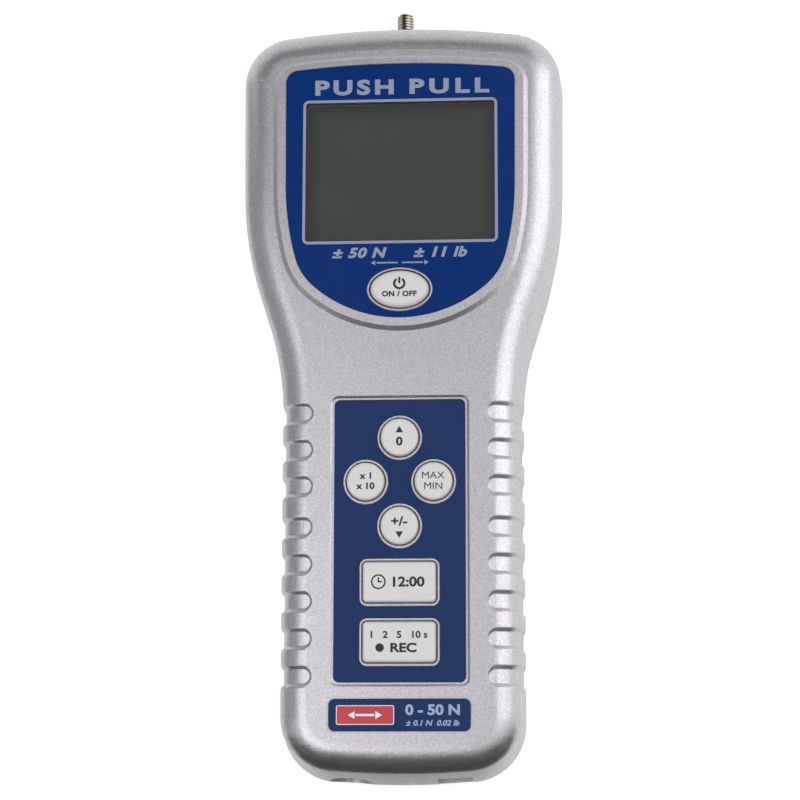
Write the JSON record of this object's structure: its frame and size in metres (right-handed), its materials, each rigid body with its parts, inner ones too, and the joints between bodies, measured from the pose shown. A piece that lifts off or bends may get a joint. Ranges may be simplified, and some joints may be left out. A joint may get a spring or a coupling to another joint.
{
  "type": "force gauge",
  "caption": "Hand-held digital force gauge with a display, rubber keys, grip pockets, data card and a threaded sensing stud at its head.",
  "frame": {"origin": "under the middle of the gauge's whole length, stud included, on the plane its back rests on", "axes": "+X to the right seen from the front, +Y from the grip's tail to the sensing stud, +Z out of the front face"},
  "size_m": [0.0908, 0.2216, 0.0476],
  "materials": {
    "silver_paint": "silver metallic paint with fine sparkle on moulded plastic, satin",
    "clear_window": "clear acrylic sheet, polished",
    "display_print": "glossy blue printed film",
    "keypad_print": "matt blue printed film",
    "key_rubber": "off-white silicone rubber, satin",
    "mat_rubber": "grey silicone rubber, matt",
    "lcd": "grey-green display glass with polariser",
    "light_panel": "diffusing white acrylic",
    "strip_rubber": "striped conducting rubber",
    "black_plastic": "black moulded nylon, fine texture",
    "board": "green solder-masked fibreglass",
    "chip": "black epoxy with tinned leads",
    "can": "aluminium can with dark sleeve",
    "nickel": "bright nickel plate",
    "zinc_steel": "zinc-plated steel",
    "stainless": "bright stainless steel",
    "bare_aluminium": "machined aluminium",
    "foil": "amber backing film with foil grid",
    "brass_insert": "knurled brass",
    "card_black": "black card with plain label",
    "cable_grey": "grey vinyl sheath",
    "cell_jacket": "dark shrink sleeve with metal ends",
    "nub_steel": "nickel-plated spring steel"
  },
  "bodies": {
    "case": {"rear_shell": "silver_paint", "front_shell": "silver_paint", "display_window": "clear_window", "display_label": "display_print", "keypad_label": "keypad_print", "name_label": "keypad_print", "keypad_mat": "mat_rubber", "lcd_glass": "lcd", "lcd_backlight": "light_panel", "lcd_connector_strips": "strip_rubber", "lcd_frame": "black_plastic", "upper_board": "board", "upper_board_screws": "zinc_steel", "lower_board": "board", "lower_board_screws": "zinc_steel", "board_header": "black_plastic", "processor_chips": "chip", "capacitors": "can", "buzzer": "black_plastic", "reset_switch": "black_plastic", "serial_jack": "black_plastic", "power_jack": "black_plastic", "power_pin": "nickel", "card_socket": "nickel", "load_cell": "bare_aluminium", "strain_gauges": "foil", "load_cell_bracket": "zinc_steel", "load_cell_screws": "zinc_steel", "bracket_screws": "zinc_steel", "overload_stop": "zinc_steel", "stand_inserts": "brass_insert", "gauge_cable": "cable_grey", "cable_plug": "light_panel", "battery_1": "cell_jacket", "battery_2": "cell_jacket", "battery_3": "cell_jacket", "battery_4": "cell_jacket", "battery_5": "cell_jacket", "battery_6": "cell_jacket", "battery_springs": "nub_steel", "battery_contacts": "nub_steel", "case_screws": "zinc_steel"},
    "stud": {"sensing_stud": "stainless", "stud_nut": "stainless"},
    "card": {"memory_card": "card_black"},
    "door": {"battery_door": "silver_paint", "battery_door_screws": "zinc_steel"},
    "reset": {"reset_plunger": "black_plastic"},
    "up_key": {"up_key": "key_rubber"},
    "left_key": {"left_key": "key_rubber"},
    "right_key": {"right_key": "key_rubber"},
    "down_key": {"down_key": "key_rubber"},
    "clock_key": {"clock_key": "key_rubber"},
    "record_key": {"record_key": "key_rubber"},
    "power_key": {"power_key": "key_rubber"}
  },
  "joints": [
    {"name": "up_key_press", "type": "slide", "parent": "case", "child": "up_key", "axis": [0, 0, -1], "range_m": [0, 0.001], "stiffness_N_per_m": 600, "springref_m": -0.0008, "deforming": ["keypad_mat"]},
    {"name": "left_key_press", "type": "slide", "parent": "case", "child": "left_key", "axis": [0, 0, -1], "range_m": [0, 0.001], "stiffness_N_per_m": 600, "springref_m": -0.0008, "deforming": ["keypad_mat"]},
    {"name": "right_key_press", "type": "slide", "parent": "case", "child": "right_key", "axis": [0, 0, -1], "range_m": [0, 0.001], "stiffness_N_per_m": 600, "springref_m": -0.0008, "deforming": ["keypad_mat"]},
    {"name": "down_key_press", "type": "slide", "parent": "case", "child": "down_key", "axis": [0, 0, -1], "range_m": [0, 0.001], "stiffness_N_per_m": 600, "springref_m": -0.0008, "deforming": ["keypad_mat"]},
    {"name": "clock_key_press", "type": "slide", "parent": "case", "child": "clock_key", "axis": [0, 0, -1], "range_m": [0, 0.001], "stiffness_N_per_m": 600, "springref_m": -0.0008, "deforming": ["keypad_mat"]},
    {"name": "record_key_press", "type": "slide", "parent": "case", "child": "record_key", "axis": [0, 0, -1], "range_m": [0, 0.001], "stiffness_N_per_m": 600, "springref_m": -0.0008, "deforming": ["keypad_mat"]},
    {"name": "power_key_press", "type": "slide", "parent": "case", "child": "power_key", "axis": [0, 0, -1], "range_m": [0, 0.001], "stiffness_N_per_m": 600, "springref_m": -0.0008, "deforming": ["keypad_mat"]},
    {"name": "stud_travel", "type": "slide", "parent": "case", "child": "stud", "axis": [0, 1, 0], "range_m": [-0.0002, 0.0002], "stiffness_N_per_m": 245000, "deforming": ["load_cell", "strain_gauges"]},
    {"name": "card_slide", "type": "slide", "parent": "case", "child": "card", "axis": [0, -1, 0], "range_m": [0, 0.034]},
    {"name": "door_lift_off", "type": "slide", "parent": "case", "child": "door", "axis": [0, 0, -1], "range_m": [0, 0.03]},
    {"name": "reset_press", "type": "slide", "parent": "case", "child": "reset", "axis": [0, 1, 0], "range_m": [0, 0.0003], "stiffness_N_per_m": 1500, "springref_m": -0.0005}
  ]
}
